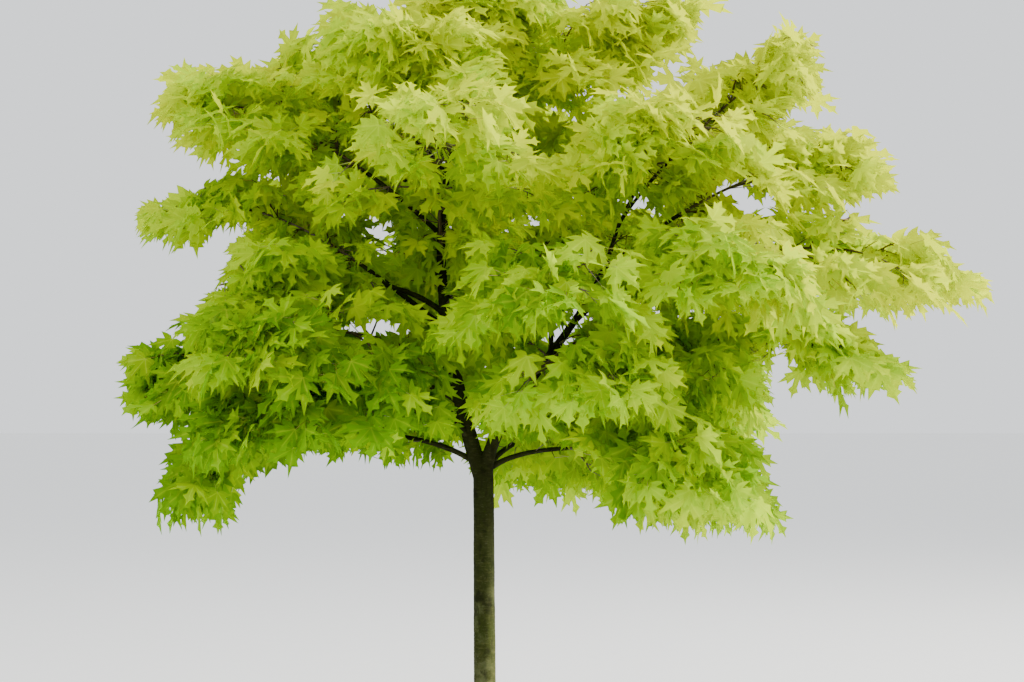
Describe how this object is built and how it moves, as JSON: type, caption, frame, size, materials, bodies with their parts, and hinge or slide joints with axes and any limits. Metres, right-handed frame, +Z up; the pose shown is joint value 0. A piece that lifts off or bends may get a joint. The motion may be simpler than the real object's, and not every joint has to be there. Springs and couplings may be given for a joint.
{
  "type": "young maple tree",
  "caption": "Young golden-leaved maple: a slim straight trunk that forks into two leaders, with boughs in tiers and a broad, layered crown of lobed leaves.",
  "frame": {"origin": "middle of the flat cut under the trunk, at ground level", "axes": "+Z up the trunk; +X to the right as pictured, towards the crown's furthest tip; +Y away from the viewer"},
  "size_m": [3.6599, 2.9956, 3.4568],
  "materials": {
    "bark": "matt young bark, grey brown with a green cast",
    "foliage": "golden green leaves with a soft sheen"
  },
  "bodies": {
    "root": {"trunk": "bark", "left_leader": "bark", "right_leader": "bark", "bough_far_right": "bark", "bough_low_back_left": "bark", "bough_low_back_right": "bark", "bough_low_front_left": "bark", "bough_low_front_right": "bark", "bough_low_left": "bark", "bough_low_right": "bark", "bough_lower_back": "bark", "bough_lower_back_right": "bark", "bough_lower_front": "bark", "bough_lower_front_left": "bark", "bough_lower_left": "bark", "bough_lower_right": "bark", "bough_middle_back": "bark", "bough_middle_back_right": "bark", "bough_middle_front": "bark", "bough_middle_front_left": "bark", "bough_middle_front_right": "bark", "bough_middle_left": "bark", "bough_top_left": "bark", "bough_top_right": "bark", "bough_upper_back_left": "bark", "bough_upper_back_right": "bark", "bough_upper_front_right": "bark", "bough_upper_left": "bark", "bough_upper_right": "bark", "foliage_far_right": "foliage", "foliage_low_back_left": "foliage", "foliage_low_back_right": "foliage", "foliage_low_front_left": "foliage", "foliage_low_front_right": "foliage", "foliage_low_left": "foliage", "foliage_low_right": "foliage", "foliage_lower_back": "foliage", "foliage_lower_back_right": "foliage", "foliage_lower_front": "foliage", "foliage_lower_front_left": "foliage", "foliage_lower_left": "foliage", "foliage_lower_right": "foliage", "foliage_middle_back": "foliage", "foliage_middle_back_right": "foliage", "foliage_middle_front": "foliage", "foliage_middle_front_left": "foliage", "foliage_middle_front_right": "foliage", "foliage_middle_left": "foliage", "foliage_top": "foliage", "foliage_top_back_left": "foliage", "foliage_top_front_left": "foliage", "foliage_top_left": "foliage", "foliage_top_middle_right": "foliage", "foliage_top_right": "foliage", "foliage_upper_back_left": "foliage", "foliage_upper_back_right": "foliage", "foliage_upper_front": "foliage", "foliage_upper_front_right": "foliage", "foliage_upper_left": "foliage", "foliage_upper_right": "foliage"}
  },
  "joints": []
}
